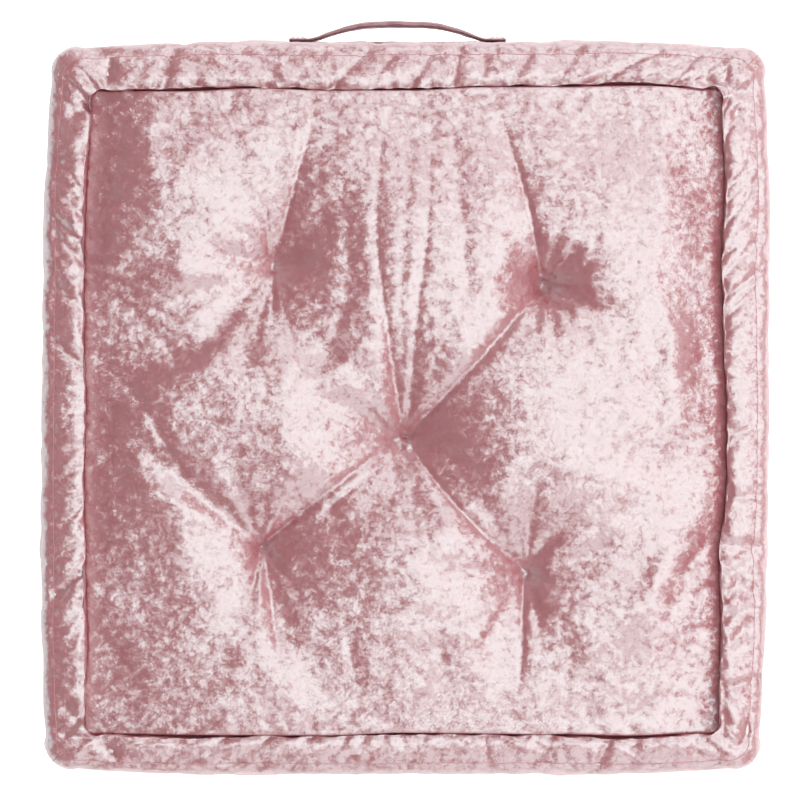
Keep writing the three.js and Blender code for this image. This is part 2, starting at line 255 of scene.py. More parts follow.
# the cover is one square lattice: a top grid, rings down the side, a bottom grid
cover = {
    "cells": 64,  # squares along one side of each grid
    "refine": 4,  # each square is split this many times per side at the end
    "gridInset": 48 * mm,
    "grooveInset": 33.5 * mm,
    "grooveZ": 82.5 * mm,
    "panelRise": 23 * mm,  # padding height above the stitched groove
    # slopes up from the front, right, back and left groove: share, reach and power of each
    "shoulders": (
        [(0.60, 1.6 * mm, 2.0), (0.40, 120 * mm, 1.6)],
        [(0.02, 3 * mm, 2.0), (0.76, 44 * mm, 1.3), (0.22, 120 * mm, 1.5)],
        [(0.60, 1.6 * mm, 2.0), (0.40, 120 * mm, 1.6)],
        [(0.06, 4 * mm, 2.0), (0.94, 82 * mm, 1.3)],
    ),
    # how much longer or shorter the left slope is, from the front to the back
    "leftReach": (1.3, 1.35, 1.05, 0.8, 1.1, 0.95, 0.6, 0.58, 0.75),
    "uneven": 0.2,  # share by which the slopes grow longer and shorter along each side
    "unevenSize": 45 * mm,
    "crown": 3 * mm,
    "cornerRadius": 19 * mm,
    "cornerDraw": 0.016,
    "grooveCorner": 7 * mm,
    "floorRise": 13 * mm,  # reach of the underside's rise to its own groove
}
mirrorSum = 2 * middleZ  # a point's z and its mirrored point's z add up to this

# inset and z in millimetres, from the stitched groove out to the seam
rollTop = [
    (33.5, 82.0), (33.45, 88.5), (33.3, 93.0), (32.2, 94.8), (26.5, 95.3), (17.5, 92.8), (10.5, 90.0),
]
# from the seam round the roll to the boxing's own line of stitching
rollSide = [(6.6, 88.8), (2.8, 86.0), (0.9, 82.0), (1.4, 77.8), (5.0, 74.4), (11.5, 72.2), (19.5, 70.8)]
# from that line down to the middle of the boxing
boxingSide = [(12.5, 68.4), (6.0, 65.4), (2.2, 61.0), (0.6, 55.0), (0.0, 49.0)]
rollSection = rollTop + rollSide + boxingSide

grooveRing = 3  # rings between the top grid and the stitched groove
seamRing = grooveRing + len(rollTop) - 1
sideRing = seamRing + len(rollSide)
edgeCrowding = 1.8  # the rings crowd together towards the groove
middleRing = grooveRing + len(rollSection) - 1
lastRing = 2 * middleRing
fine = cover["refine"]


def panelHeight(xy):
    # crowned top before the tufts pull it down, measured from the groove
    height = np.full(xy.shape[:-1], cover["panelRise"])
    places = np.linspace(-1, 1, len(cover["leftReach"]))
    stretch = np.interp(xy[..., 1] / halfSize[1], places, cover["leftReach"])
    for side, terms in enumerate(cover["shoulders"]):
        axis, sign = [(1, -1), (0, 1), (1, 1), (0, -1)][side]
        gap = np.clip(halfSize[axis] - sign * xy[..., axis] - cover["grooveInset"], 0, None)
        longer = stretch if side == 3 else 1.0
        noise = softNoise(xy[..., 1 - axis], gap, cover["unevenSize"], 90 + side)
        longer = longer * (1 + cover["uneven"] * noise)
        slopes = [
            share * (1 - np.clip(1 - gap / (reach * longer), 0, 1) ** power)
            for share, reach, power in terms
        ]
        height = height * sum(slopes)
    middle = np.prod(np.cos(np.clip(xy / halfSize, -1, 1) * math.pi / 2), axis=-1)
    return height + cover["crown"] * middle


def ringOutline(cells, inset, radius):
    # a square with rounded corners, walked from the front left corner, anticlockwise
    s = np.arange(cells) / cells * 2 - 1
    points = []
    for side in range(4):
        length = halfSize[side % 2] - inset
        reach = halfSize[(side + 1) % 2] - inset
        along = s * length
        over = np.clip(np.abs(along) - (length - radius), 0, None) / radius
        turn = over * math.pi / 4
        bent = length - radius + radius * np.sin(turn)
        x = np.sign(along) * np.where(over > 0, bent, np.abs(along))
        y = reach - radius + radius * np.cos(turn)
        quarter = side * math.pi / 2
        c, n = math.cos(quarter), math.sin(quarter)
        points.append(np.stack([c * x + n * y, n * x - c * y], axis=1))
    return np.concatenate(points)


def cornerRadius(inset):
    share = min(1.0, inset / cover["grooveInset"])
    return cover["cornerRadius"] * (1 - share) + cover["grooveCorner"] * share


def gridOutline(grid):
    return np.concatenate([grid[:-1, 0], grid[-1, :-1], grid[:0:-1, -1], grid[0, :0:-1]])


def refined(values, factor, axis, closed=False):
    # cubic in-between points along one axis of a lattice
    a = np.moveaxis(values, axis, 0)
    if closed:
        before, here = np.roll(a, 1, 0), a
        after, beyond = np.roll(a, -1, 0), np.roll(a, -2, 0)
    else:
        padded = np.concatenate([[2 * a[0] - a[1]], a, [2 * a[-1] - a[-2]]])
        before, here, after, beyond = padded[:-3], padded[1:-2], padded[2:-1], padded[3:]
    made = []
    for step in range(factor):
        t = step / factor
        made.append(
            0.5 * (2 * here + (after - before) * t
                   + (2 * before - 5 * here + 4 * after - beyond) * t ** 2
                   + (3 * here - before - 3 * after + beyond) * t ** 3)
        )
    out = np.stack(made, axis=1).reshape(-1, *a.shape[1:])
    if not closed:
        out = np.concatenate([out, a[-1:]])
    return np.moveaxis(out, 0, axis)


def sectionStations():
    # inset and z of every fine ring, from the edge of the top grid to the middle of the boxing
    share = np.linspace(1, 0, grooveRing * fine + 1)[:-1] ** edgeCrowding
    edge = cover["grooveInset"] + share * (cover["gridInset"] - cover["grooveInset"])
    upper = [(inset, None) for inset in edge]
    return upper + [tuple(place) for place in refined(np.array(rollSection) * mm, fine, 0)]


def baseLattice(cells):
    s = np.linspace(-1, 1, cells + 1)
    grid = np.zeros((cells + 1, cells + 1, 3))
    grid[..., 0] = s[:, None] * (halfSize[0] - cover["gridInset"])
    grid[..., 1] = s[None, :] * (halfSize[1] - cover["gridInset"])
    top, bottom = grid.copy(), grid.copy()
    top[..., 2] = cover["grooveZ"] + panelHeight(grid[..., :2])
    bottom[..., 2] = undersideHeight(grid[..., :2])
    upper, lower = [], []
    for index, (inset, z) in enumerate(sectionStations()):
        share = min(1.0, index / (grooveRing * fine))
        radius = max(cornerRadius(inset) * share, 0.01 * mm)
        outline = ringOutline(cells, inset, radius)
        # the sides bow out, so that the corners draw in
        drawn = cover["cornerDraw"] * np.clip(1 - inset / cover["grooveInset"], 0, 1)
        outline = outline * (1 - drawn * np.abs(outline[:, ::-1] / halfSize[::-1]) ** 3)
        if z is None:
            above, below = cover["grooveZ"] + panelHeight(outline), undersideHeight(outline)
        else:
            above, below = np.full(len(outline), z), np.full(len(outline), mirrorSum - z)
        upper.append(np.column_stack([outline, above]))
        lower.append(np.column_stack([outline, below]))
    rings = np.array(upper + lower[-2::-1])
    rings[0], rings[-1] = gridOutline(top), gridOutline(bottom)
    return top, rings, bottom


def undersideHeight(xy):
    # flat on the floor, rising to its own stitched groove
    inset = (halfSize - np.abs(xy)).min(axis=-1) - cover["grooveInset"]
    depth = mirrorSum - cover["grooveZ"]
    return depth * np.exp(-(np.clip(inset, 0, None) / cover["floorRise"]) ** 1.3)


def refinedShift(before, after):
    # how far the cloth moved the coarse lattice, spread over the fine one
    top, rings, bottom = [new - old for old, new in zip(before, after)]
    top = refined(refined(top, fine, 0), fine, 1)
    bottom = refined(refined(bottom, fine, 0), fine, 1)
    rings = refined(refined(rings, fine, 1, True), fine, 0)
    return top, rings, bottom


def gridFaces(rows, columns, first=0, flip=False):
    numbers = first + np.arange(rows * columns).reshape(rows, columns)
    left, right = numbers[:, :-1], numbers[:, 1:]
    faces = np.stack([left[:-1], right[:-1], right[1:], left[1:]], axis=-1).reshape(-1, 4)
    return faces[:, ::-1] if flip else faces


def loopFaces(rows):
    # faces between closed loops, one loop of point numbers to each row
    onward = np.roll(rows, -1, 1)
    return np.stack([rows[:-1], rows[1:], onward[1:], onward[:-1]], axis=-1).reshape(-1, 4)


def tubeFaces(rows):
    return loopFaces(rows)[:, [0, 3, 2, 1]]


def latticeMesh(top, rings, bottom):
    # one closed body; the rings share their first and last rows with the grids
    side = len(top)
    topCount = side * side
    topIndex = np.arange(topCount).reshape(side, side)
    ringCount = rings.shape[1]
    middle = rings[1:-1].reshape(-1, 3)
    bottomFirst = topCount + len(middle)
    bottomIndex = bottomFirst + np.arange(topCount).reshape(side, side)
    rows = [gridOutline(topIndex)]
    for row in range(len(rings) - 2):
        rows.append(topCount + row * ringCount + np.arange(ringCount))
    rows.append(gridOutline(bottomIndex))
    rows = np.array(rows)
    points = np.concatenate([top.reshape(-1, 3), middle, bottom.reshape(-1, 3)])
    faces = [gridFaces(side, side, flip=True), loopFaces(rows), gridFaces(side, side, bottomFirst)]
    return points, np.concatenate(faces), rows


def makeMesh(name, points, faces, material, smooth=True):
    data = bpy.data.meshes.new(name)
    data.from_pydata([], [], [])
    data.vertices.add(len(points))
    data.vertices.foreach_set("co", np.asarray(points, np.float32).ravel())
    width = faces.shape[1]
    data.loops.add(faces.size)
    data.loops.foreach_set("vertex_index", faces.astype(np.int32).ravel())
    data.polygons.add(len(faces))
    data.polygons.foreach_set("loop_start", np.arange(0, faces.size, width, dtype=np.int32))
    data.update(calc_edges=True)
    data.polygons.foreach_set("use_smooth", np.full(len(faces), smooth))
    data.validate()
    piece = bpy.data.objects.new(name, data)
    bpy.context.scene.collection.objects.link(piece)
    if material:
        data.materials.append(material)
    return piece


inflate = {
    "frames": 18,
    "cloth": {
        "uniform_pressure_force": 1.6,
        "shrink_min": -0.05,  # extra fabric, as a share of its length
        "mass": 0.3,
        "tension_stiffness": 30,
        "compression_stiffness": 30,
        "shear_stiffness": 12,
        "bending_stiffness": 0.02,
        "air_damping": 3,
        "quality": 5,
        "pin_stiffness": 1.0,
    },
    "cap": 5 * mm,  # the cloth moves less than this
    "easeIn": (60 * mm, 110 * mm),  # the swelling starts this far in from the stitched groove
    "smoothings": 3,
    "edgeShare": 0.4,  # how much of the swelling the rolled edges and the boxing keep
}


def heldPoints(points, rows, topCount, bottomFirst):
    # the stitched lines, the tufts and the underside stay where they are
    held = set(rows[grooveRing]) | set(rows[sideRing]) | set(rows[lastRing - sideRing])
    held |= set(rows[lastRing - grooveRing:].ravel()) | set(range(bottomFirst, len(points)))
    for tuft in tufts.values():
        gap = np.linalg.norm(points[:topCount, :2] - (tuft - cushionCentre), axis=1)
        held.add(gap.argmin())
    return [int(point) for point in held]


def pressedOut(body, held):
    # where the points of a body lie once the pressure of the filling has swollen it
    group = body.vertex_groups.new(name="held")
    group.add(held, 1.0, "REPLACE")
    cloth = body.modifiers.new("inflate", "CLOTH")
    cloth.settings.vertex_group_mass = "held"
    cloth.settings.use_pressure = True
    for key, value in inflate["cloth"].items():
        setattr(cloth.settings, key, value)
    cloth.settings.effector_weights.gravity = 0
    cloth.collision_settings.use_collision = False
    cloth.point_cache.frame_end = inflate["frames"] + 1
    scene = bpy.context.scene
    for step in range(1, inflate["frames"] + 1):
        scene.frame_set(step)
    graph = bpy.context.evaluated_depsgraph_get()
    result = body.evaluated_get(graph).to_mesh()
    moved = np.empty(len(body.data.vertices) * 3, np.float32)
    result.vertices.foreach_get("co", moved)
    scene.frame_set(1)
    bpy.data.objects.remove(body)
    return moved.reshape(-1, 3).astype(float)


def smoothGrid(field):
    beside = field[2:, 1:-1] + field[:-2, 1:-1] + field[1:-1, 2:] + field[1:-1, :-2]
    field[1:-1, 1:-1] = 0.5 * field[1:-1, 1:-1] + 0.125 * beside


def inflated(top, rings, bottom):
    points, faces, rows = latticeMesh(top, rings, bottom)
    count = len(top)
    bottomFirst = len(points) - count * count
    body = makeMesh("inflating", points, faces, None)
    shift = pressedOut(body, heldPoints(points, rows, count * count, bottomFirst)) - points
    for _ in range(inflate["smoothings"]):
        for first in (0, bottomFirst):
            smoothGrid(shift[first: first + count * count].reshape(count, count, 3))
    length = np.linalg.norm(shift, axis=1, keepdims=True)
    cap = inflate["cap"]
    shift *= np.where(length > 0, cap * np.tanh(length / cap) / np.maximum(length, 1e-9), 0)
    moved = points + shift
    newTop = moved[:count * count].reshape(top.shape)
    newBottom = moved[bottomFirst:].reshape(bottom.shape)
    newRings = moved[rows]
    for old, new in ((top, newTop), (bottom, newBottom)):
        inset = halfSize - np.abs(old[..., :2]) - cover["grooveInset"]
        ease = np.clip(inset / inflate["easeIn"], 0, 1).prod(axis=-1, keepdims=True)
        new[...] = old + ease * (new - old)
    newRings[0] = gridOutline(newTop)
    for row in range(1, grooveRing):
        share = (1 - row / grooveRing) ** edgeCrowding
        newRings[row] = rings[row] + share * (newRings[0] - rings[0])
    edges = slice(grooveRing, lastRing - grooveRing + 1)
    newRings[edges] = rings[edges] + inflate["edgeShare"] * (newRings[edges] - rings[edges])
    return newTop, newRings, newBottom, length.max()


noiseCells = 97  # the random table repeats after this many squares
noiseStart = 500  # keeps the table's own place positive


def softNoise(x, y, size, seed):
    # smooth random heights between -1 and 1, one per square of that size
    table = np.random.default_rng(seed).random((noiseCells, noiseCells)) * 2 - 1
    u, v = x / size + noiseStart, y / size + noiseStart
    i, j = np.floor(u).astype(int), np.floor(v).astype(int)
    a, b = u - i, v - j
    a, b = a * a * (3 - 2 * a), b * b * (3 - 2 * b)
    i, j, k, l = i % noiseCells, j % noiseCells, (i + 1) % noiseCells, (j + 1) % noiseCells
    low = table[i, j] * (1 - a) + table[k, j] * a
    high = table[i, l] * (1 - a) + table[k, l] * a
    return low * (1 - b) + high * b


tuftCone = {
    "uneven": 0.22,  # share by which a cone's reach varies around its tuft
    "lobes": 2.5,
    "power": 1.5,
    "blend": 3,  # how sharply one cone takes over from the next
}


def tuftPull(xy, depth, near, cones, share):
    # how deep the cloth lies below its untufted shape: a cone with a tight pinch in its middle
    total = np.zeros(xy.shape[:-1])
    for name, cone in zip(tuftNames, cones):
        offset = xy - (tufts[name] - cushionCentre)
        gap = np.linalg.norm(offset, axis=-1)
        angle = np.arctan2(offset[..., 0], offset[..., 1])
        u, v = np.cos(angle) * tuftCone["lobes"], np.sin(angle) * tuftCone["lobes"] + cone
        uneven = 1 + tuftCone["uneven"] * softNoise(u, v, 1.0, 80)
        slope = np.clip(1 - gap / (cone * mm * uneven), 0, 1) ** tuftCone["power"]
        total += (depth * (share * np.exp(-gap / near) + (1 - share) * slope)) ** tuftCone["blend"]
    return total ** (1 / tuftCone["blend"])


# reach of each tuft's cone in millimetres, in the order of tuftNames
tuftShape = {"depth": 28 * mm, "near": 6 * mm, "cones": (94, 36, 82, 112, 74), "share": 0.2}
underTuft = {"depth": 20 * mm, "near": 9 * mm, "cones": (60, 60, 60, 60, 60), "share": 0.5}
grooveWander = {
    # for front, right, back, left: how far the groove moves in at both ends and out in the middle
    "bow": (1.0 * mm, 2.5 * mm, 0.5 * mm, 9.0 * mm),
    "middle": (-5.0 * mm, -1.5 * mm, 0.0, -4.0 * mm),
    "amount": 2.6 * mm,
    "size": 52 * mm,
    "reach": 22 * mm,
    "cornerEase": 20 * mm,
    "lean": 0.009,  # the whole cushion leans over like a parallelogram
}


def wander(points):
    # the stitched groove isn't straight, and the cushion isn't quite square
    flat = points[..., :2].copy()
    for side, (axis, sign) in enumerate([(1, -1), (0, 1), (1, 1), (0, -1)]):
        inset = halfSize[axis] - sign * flat[..., axis]
        along = flat[..., 1 - axis]
        share = along / halfSize[1 - axis]
        noise = softNoise(along, along * 0, grooveWander["size"], 70 + side)
        bow = grooveWander["bow"][side] * np.abs(share) ** 3 + grooveWander["middle"][side]
        reach = np.exp(-((inset - cover["grooveInset"]) / grooveWander["reach"]) ** 2)
        away = np.clip((halfSize[1 - axis] - np.abs(along)) / grooveWander["cornerEase"], 0, 1)
        points[..., axis] -= sign * reach * away * (bow + grooveWander["amount"] * noise)
    points[..., 0] += grooveWander["lean"] * points[..., 1]


top, rings, bottom = baseLattice(cover["cells"] * fine)
top[..., 2] -= tuftPull(top[..., :2], **tuftShape)
bottom[..., 2] += tuftPull(bottom[..., :2], **underTuft)
coarse = top[::fine, ::fine], rings[::fine, ::fine], bottom[::fine, ::fine]
*swollen, furthest = inflated(*coarse)
for array, shift in zip((top, rings, bottom), refinedShift(coarse, swollen)):
    array += shift
rings[0], rings[-1] = gridOutline(top), gridOutline(bottom)
print(f"cloth moved up to {furthest / mm:.1f} mm")
report("cloth")


crease = {
    "reach": 5,  # a fold is worked out this many widths to each side
    "rounding": 1.6 * mm,  # keeps the bottom of the valley from ending in an edge
    "lineWidth": 1.9 * mm,
    "endTaper": 7 * mm,
    "curveSteps": 6,
}


def smoothRoute(points):
    route = np.array(points, float) * mm
    return refined(route, crease["curveSteps"] if len(route) > 2 else 2, 0)


def nearestOnRoute(points, route):
    # distance to the route, share of the route walked, side of it, and how far past its ends
    best = np.full(len(points), 1e9)
    share, side, past = np.zeros((3, len(points)))
    lengths = np.linalg.norm(np.diff(route, axis=0), axis=1)
    walked = np.concatenate([[0], np.cumsum(lengths)]) / lengths.sum()
    for k, start in enumerate(route[:-1]):
        step = route[k + 1] - start
        whole = (points - start) @ step / (step @ step)
        t = np.clip(whole, 0, 1)
        gap = points - start - t[:, None] * step
        distance = np.hypot(gap[:, 0], gap[:, 1])
        closer = distance < best
        best[closer] = distance[closer]
        share[closer] = (walked[k] + t * (walked[k + 1] - walked[k]))[closer]
        side[closer] = (step[0] * gap[:, 1] - step[1] * gap[:, 0])[closer]
        past[closer] = (np.abs(whole - t) * np.linalg.norm(step))[closer]
    return best, share, side, past


def foldFade(share, ends):
    # strength along a fold that is held at both ends, at its start, or at neither
    if ends == "both":
        return 0.7 + 0.3 * np.abs(2 * share - 1)
    if ends == "start":
        return np.clip(1 - share, 0, 1) ** 0.8
    return np.sin(np.pi * np.clip(share, 0.02, 0.98)) ** 0.7


def foldDepth(xy, fold):
    # a valley along a route, easing off to each side over its own width
    route = smoothRoute(fold["route"])
    leftWidth, rightWidth = fold["left"] * mm, fold["right"] * mm
    reach = crease["reach"] * max(leftWidth, rightWidth)
    depth = np.zeros(xy.shape[:-1])
    low, high = route.min(0) - reach, route.max(0) + reach
    near = np.all((xy > low) & (xy < high), axis=-1)
    if not near.any():
        return depth
    distance, share, side, past = nearestOnRoute(xy[near], route)
    along = foldFade(share, fold["ends"])
    width = np.where(side > 0, leftWidth, rightWidth) * (0.5 + 0.5 * along)
    rounded = np.hypot(distance, crease["rounding"]) - crease["rounding"]
    wide = fold["depth"] * np.exp(-rounded / width)
    line = fold["line"] * np.exp(-distance / crease["lineWidth"])
    depth[near] = mm * along * (wide + line) * np.exp(-past / crease["endTaper"])
    return depth


def fold(route, depth, left, right, line=0.0, ends="start"):
    # line is the extra depth of a sharp crease in the bottom of the valley
    return {"route": route, "depth": depth, "left": left, "right": right, "ends": ends, "line": line}


# chief folds of the top, in millimetres from the cushion's centre
topFolds = [
    fold([(0, -21), (46, 28), (93, 82)], 9, 9, 22, 3.5, "both"),
    fold([(-98, -95), (-52, -58), (-7, -22)], 9, 14, 26, 3.5, "both"),
    fold([(-52, -68), (-25, -47), (-3, -28)], 5.0, 3.0, 10, 3.0, "both"),
    fold([(4, -28), (38, -70), (81, -111)], 8.5, 20, 12, 3.0, "both"),
    fold([(-2, -15), (-13, 53), (-21, 122), (-17, 200)], 3.5, 5, 11, 1.5),
    fold([(-1, -12), (-4, 60), (-2, 130), (4, 214)], 2.4, 7, 9),
    fold([(1, -15), (6, 53), (14, 129), (16, 205)], 3.0, 8, 10, 1.0),
    fold([(-93, 98), (-99, 150)], 3.0, 5, 4, 2.0),
    fold([(-91, 99), (-80, 143), (-64, 204)], 5.0, 5, 16, 2.5),
    fold([(92, 92), (82, 140), (62, 204)], 3.5, 6, 4, 2.5),
    fold([(94, 92), (93, 135)], 3.0, 6, 4),
    fold([(98, 90), (134, 105), (166, 122)], 3.0, 4, 5),
    fold([(-99, -100), (-107, -134)], 3.5, 6, 5, 2.0),
    fold([(-96, -103), (-89, -146), (-83, -190)], 4.5, 8, 6, 2.0),
    fold([(82, -117), (80, -196)], 3.5, 5, 5, 2.5),
    fold([(87, -118), (96, -176)], 4.0, 8, 4),
    fold([(88, -110), (120, -64)], 3.5, 7, 5),
    fold([(-1, -30), (-14, -78), (-19, -108)], 3.0, 4, 6),
    fold([(2, -30), (14, -78), (17, -120)], 3.0, 6, 5),
    fold([(-218, 43), (-183, 5), (-166, -22), (-148, -52)], 1.8, 6, 3, ends="none"),
    fold([(-215, 90), (-180, 60), (-150, 20)], 1.5, 8, 5, ends="none"),
    fold([(148, -212), (180, -194)], 2.2, 5, 4, ends="none"),
    fold([(188, -119), (220, -74)], 2.5, 5, 4, ends="none"),
    fold([(150, 10), (200, 30)], 1.5, 7, 6, ends="none"),
    fold([(-60, 20), (-40, 80), (-45, 150)], 2.0, 8, 8, ends="none"),
    fold([(45, 60), (38, 120), (30, 190)], 1.8, 7, 7, ends="none"),
    fold([(20, -130), (30, -200)], 1.8, 7, 7, ends="none"),
    fold([(-40, -140), (-30, -205)], 1.8, 7, 7, ends="none"),
]


def cornerFold(route, depth, left, right):
    return fold(route, depth, left, right, ends="none")


# deep tucks where the rolls meet at the corners
cornerFolds = [
    cornerFold([(-208, 218), (-217, 209), (-232, 198)], 4.5, 2.5, 5),
    cornerFold([(-209, 220), (-207, 232), (-205, 243)], 4.0, 5, 2.5),
    cornerFold([(-213, 217), (-220, 226), (-227, 233)], 3.0, 2.5, 4),
    cornerFold([(212, 219), (218, 226), (222, 234)], 3.5, 3, 3),
    cornerFold([(196, 225), (209, 222), (228, 217), (238, 214)], 4.5, 4, 2.5),
    cornerFold([(215, 212), (224, 205), (234, 190)], 3.0, 3, 4),
    cornerFold([(-207, -222), (-222, -222), (-238, -221)], 4.0, 3, 5),
    cornerFold([(-207, -225), (-200, -234), (-197, -241)], 4.0, 4, 2.5),
    cornerFold([(-212, -216), (-224, -210), (-236, -196)], 3.0, 3, 4),
    cornerFold([(220, -190), (220, -212), (220, -229)], 3.5, 3, 5),
    cornerFold([(222, -219), (232, -228), (243, -204)], 3.5, 3, 3),
    cornerFold([(222, -132), (229, -120), (234, -112)], 3.5, 3, 4),
    cornerFold([(222, -167), (231, -155), (241, -143)], 3.5, 3, 4),
]

# sizes in millimetres
edgeTucks = {
    "spacing": (14, 36),
    "length": (9, 34),
    "depth": (0.3, 1.5),
    "width": (2.5, 5),
    "lean": (-0.2, 1.1),
    "endGap": 8,
    "seed": 5,
}


def edgeFolds(tucks):
    # short tucks that run into the panel from the stitched groove
    pick = np.random.default_rng(tucks["seed"])
    made = []
    start = halfSize / mm - cover["grooveInset"] / mm
    for side, outward in enumerate([(0, -1), (1, 0), (0, 1), (-1, 0)]):
        far = start[side % 2] - tucks["endGap"]
        along = -far
        while along < far:
            length, lean = pick.uniform(*tucks["length"]), pick.uniform(*tucks["lean"])
            depth = pick.uniform(*tucks["depth"])
            tangent = (-outward[1], outward[0])
            edge = start[(side + 1) % 2]
            first = [outward[k] * edge + tangent[k] * along for k in range(2)]
            last = [first[k] - outward[k] * length - tangent[k] * lean * length for k in range(2)]
            made.append(fold([first, last], depth, *pick.uniform(*tucks["width"], 2)))
            along += pick.uniform(*tucks["spacing"])
    return made


wrinkleDrift = {"size": 60 * mm, "amount": 12 * mm}
# size, height, slant and squeeze along y of each layer of small creases
wrinkleLayers = [
    (27 * mm, 0.55 * mm, 0.0, 0.6),
    (12 * mm, 0.28 * mm, -0.3, 0.55),
    (5.5 * mm, 0.10 * mm, 0.2, 0.6),
]


def wrinkles(xy):
    x, y = xy[..., 0], xy[..., 1]
    drift = wrinkleDrift["amount"] * softNoise(x, y, wrinkleDrift["size"], 3)
    total = np.zeros(x.shape)
    for seed, (size, height, slant, squeeze) in enumerate(wrinkleLayers, 11):
        total += height * softNoise(x + drift, (y + slant * x) * squeeze, size, seed)
    return total


rayLook = {
    "reach": 14 * mm,  # the creases are highest this far from the tuft
    "broad": 1.5 * mm,
    "broadCount": 4.2,
    "thin": 0.8 * mm,
    "thinCount": 9,
    "pinch": 2.0 * mm,
    "pinchReach": 3 * mm,
    "sideways": 0.25,  # height of the creases that run along x, as a share of those along y
}


def rays(xy):
    # creases that fan out of each tuft
    total = np.zeros(xy.shape[:-1])
    for number, name in enumerate(tuftNames):
        offset = xy - (tufts[name] - cushionCentre)
        gap = np.hypot(offset[..., 0], offset[..., 1])
        angle = np.arctan2(offset[..., 1], offset[..., 0])
        u, v = np.cos(angle) * rayLook["broadCount"], np.sin(angle) * rayLook["broadCount"]
        broad = softNoise(u + number * 9.1, v, 1.0, 30 + number)
        u, v = np.cos(angle) * rayLook["thinCount"], np.sin(angle) * rayLook["thinCount"]
        thin = softNoise(u + number * 5.3, v, 1.0, 40 + number)
        swell = (gap / rayLook["reach"]) * np.exp(1 - gap / rayLook["reach"])
        upright = rayLook["sideways"] + (1 - rayLook["sideways"]) * np.abs(np.sin(angle)) ** 1.5
        pinch = rayLook["pinch"] * np.exp(-gap / rayLook["pinchReach"])
        total += swell * upright * (rayLook["broad"] * broad + rayLook["thin"] * thin) - pinch
    return total


def latticeNormals(rows):
    across = np.gradient(rows, axis=0)
    along = np.roll(rows, -1, 1) - np.roll(rows, 1, 1)
    normal = np.cross(across, along)
    normal /= np.maximum(np.linalg.norm(normal, axis=-1, keepdims=True), 1e-12)
    return normal


# sizes in millimetres
puckers = {
    "spacing": (9, 27),
    "firstPlace": (5, 15),
    "depth": (0.8, 5.0),
    "width": (2.0, 5.5),
    # for front, right, back, left
    "lean": ((-1.5, 0.1), (-0.1, 1.4), (-1.5, 0.1), (-0.9, 1.1)),
    "start": (0, 0.1),  # shares of the way from the groove to the boxing
    "stop": (0.35, 1.0),
    "cornerFade": 16,
}


def rollPuckers(rows, looks, seed):
    # depth of the diagonal tucks across a rolled edge; rows run from its groove to the boxing
    pick = np.random.default_rng(seed)
    count = rows.shape[1] // 4
    across = np.linspace(0, 1, len(rows))
    walked = np.linalg.norm(np.diff(rows, axis=0), axis=-1)
    walked = np.concatenate([np.zeros((1, rows.shape[1])), np.cumsum(walked, axis=0)])
    depth = np.zeros(rows.shape[:2])
    for side in range(4):
        columns = slice(side * count, (side + 1) * count)
        length = 2 * halfSize[side % 2] / mm
        along = (np.arange(count) / count) * length
        fade = np.clip(np.minimum(along, length - along) / looks["cornerFade"], 0, 1)
        at = pick.uniform(*looks["firstPlace"])
        while at < length - looks["firstPlace"][0]:
            deep, wide = pick.uniform(*looks["depth"]), pick.uniform(*looks["width"])
            lean = pick.uniform(*looks["lean"][side])
            start, stop = pick.uniform(*looks["start"]), pick.uniform(*looks["stop"])
            share = np.clip((stop - across) / (stop - start), 0, 1) ** 0.7
            gap = along[None, :] - at - lean * walked[:, columns] / mm
            depth[:, columns] += mm * deep * share[:, None] * fade * np.exp(-np.abs(gap) / wide)
            at += pick.uniform(*looks["spacing"])
    return depth


def sinkWays(count, directions):
    # next to the groove the cloth can only sink, so that the groove stays shut
    ways = directions.copy()
    share = np.clip((np.linspace(0, 1, count) - 0.2) / 0.25, 0, 1)
    ways[..., :2] *= share[:, None, None]
    return ways


foldOverlap = 0.35  # how much of the shallower fold is felt where two folds cross


def shapeTop(points, strength):
    sink = np.zeros(points.shape[:-1])
    flat = points[..., :2]
    for one in topFolds + edgeFolds(edgeTucks):
        depth = foldDepth(flat, one)
        sink = np.maximum(sink, depth) + foldOverlap * np.minimum(sink, depth)
    points[..., 2] += strength * (wrinkles(flat) + rays(flat) - sink)


def puckerRolls(rings, normals):
    for first, last, seed in ((grooveRow, sideRow, 21), (flipSide - grooveRow, flipSide - sideRow, 22)):
        step = 1 if last > first else -1
        rows = np.arange(first, last + step, step)
        depth = rollPuckers(rings[rows], puckers, seed)
        rings[rows] -= sinkWays(len(rows), normals[rows]) * depth[..., None]


def tuckCorners(rings, normals, sideways=0.4):
    upper, lower = slice(grooveRow, seamRow + 1), slice(flipSide - seamRow, flipSide - grooveRow + 1)
    for rows in (upper, lower):
        flat = rings[rows, :, :2]
        sink = np.zeros(flat.shape[:2])
        for one in cornerFolds:
            sink = np.maximum(sink, foldDepth(flat, one))
        ways = normals[rows].copy()
        ways[..., :2] *= sideways
        rings[rows] -= ways * sink[..., None]


boxingRipple = {"height": 0.9 * mm, "size": 22 * mm, "smallSize": 9 * mm, "smallShare": 0.5}


def rippleBoxing(rings, normals):
    rows = slice(sideRow, len(rings) - sideRow)
    edge, ways = rings[rows], normals[rows]
    along = np.where(np.abs(ways[..., 0]) > 0.5, edge[..., 1], edge[..., 0])
    ripple = softNoise(along, edge[..., 2] * 0.5, boxingRipple["size"], 51)
    small = softNoise(along, edge[..., 2], boxingRipple["smallSize"], 52)
    ripple = ripple + boxingRipple["smallShare"] * small
    edge += ways * (boxingRipple["height"] * ripple[..., None])


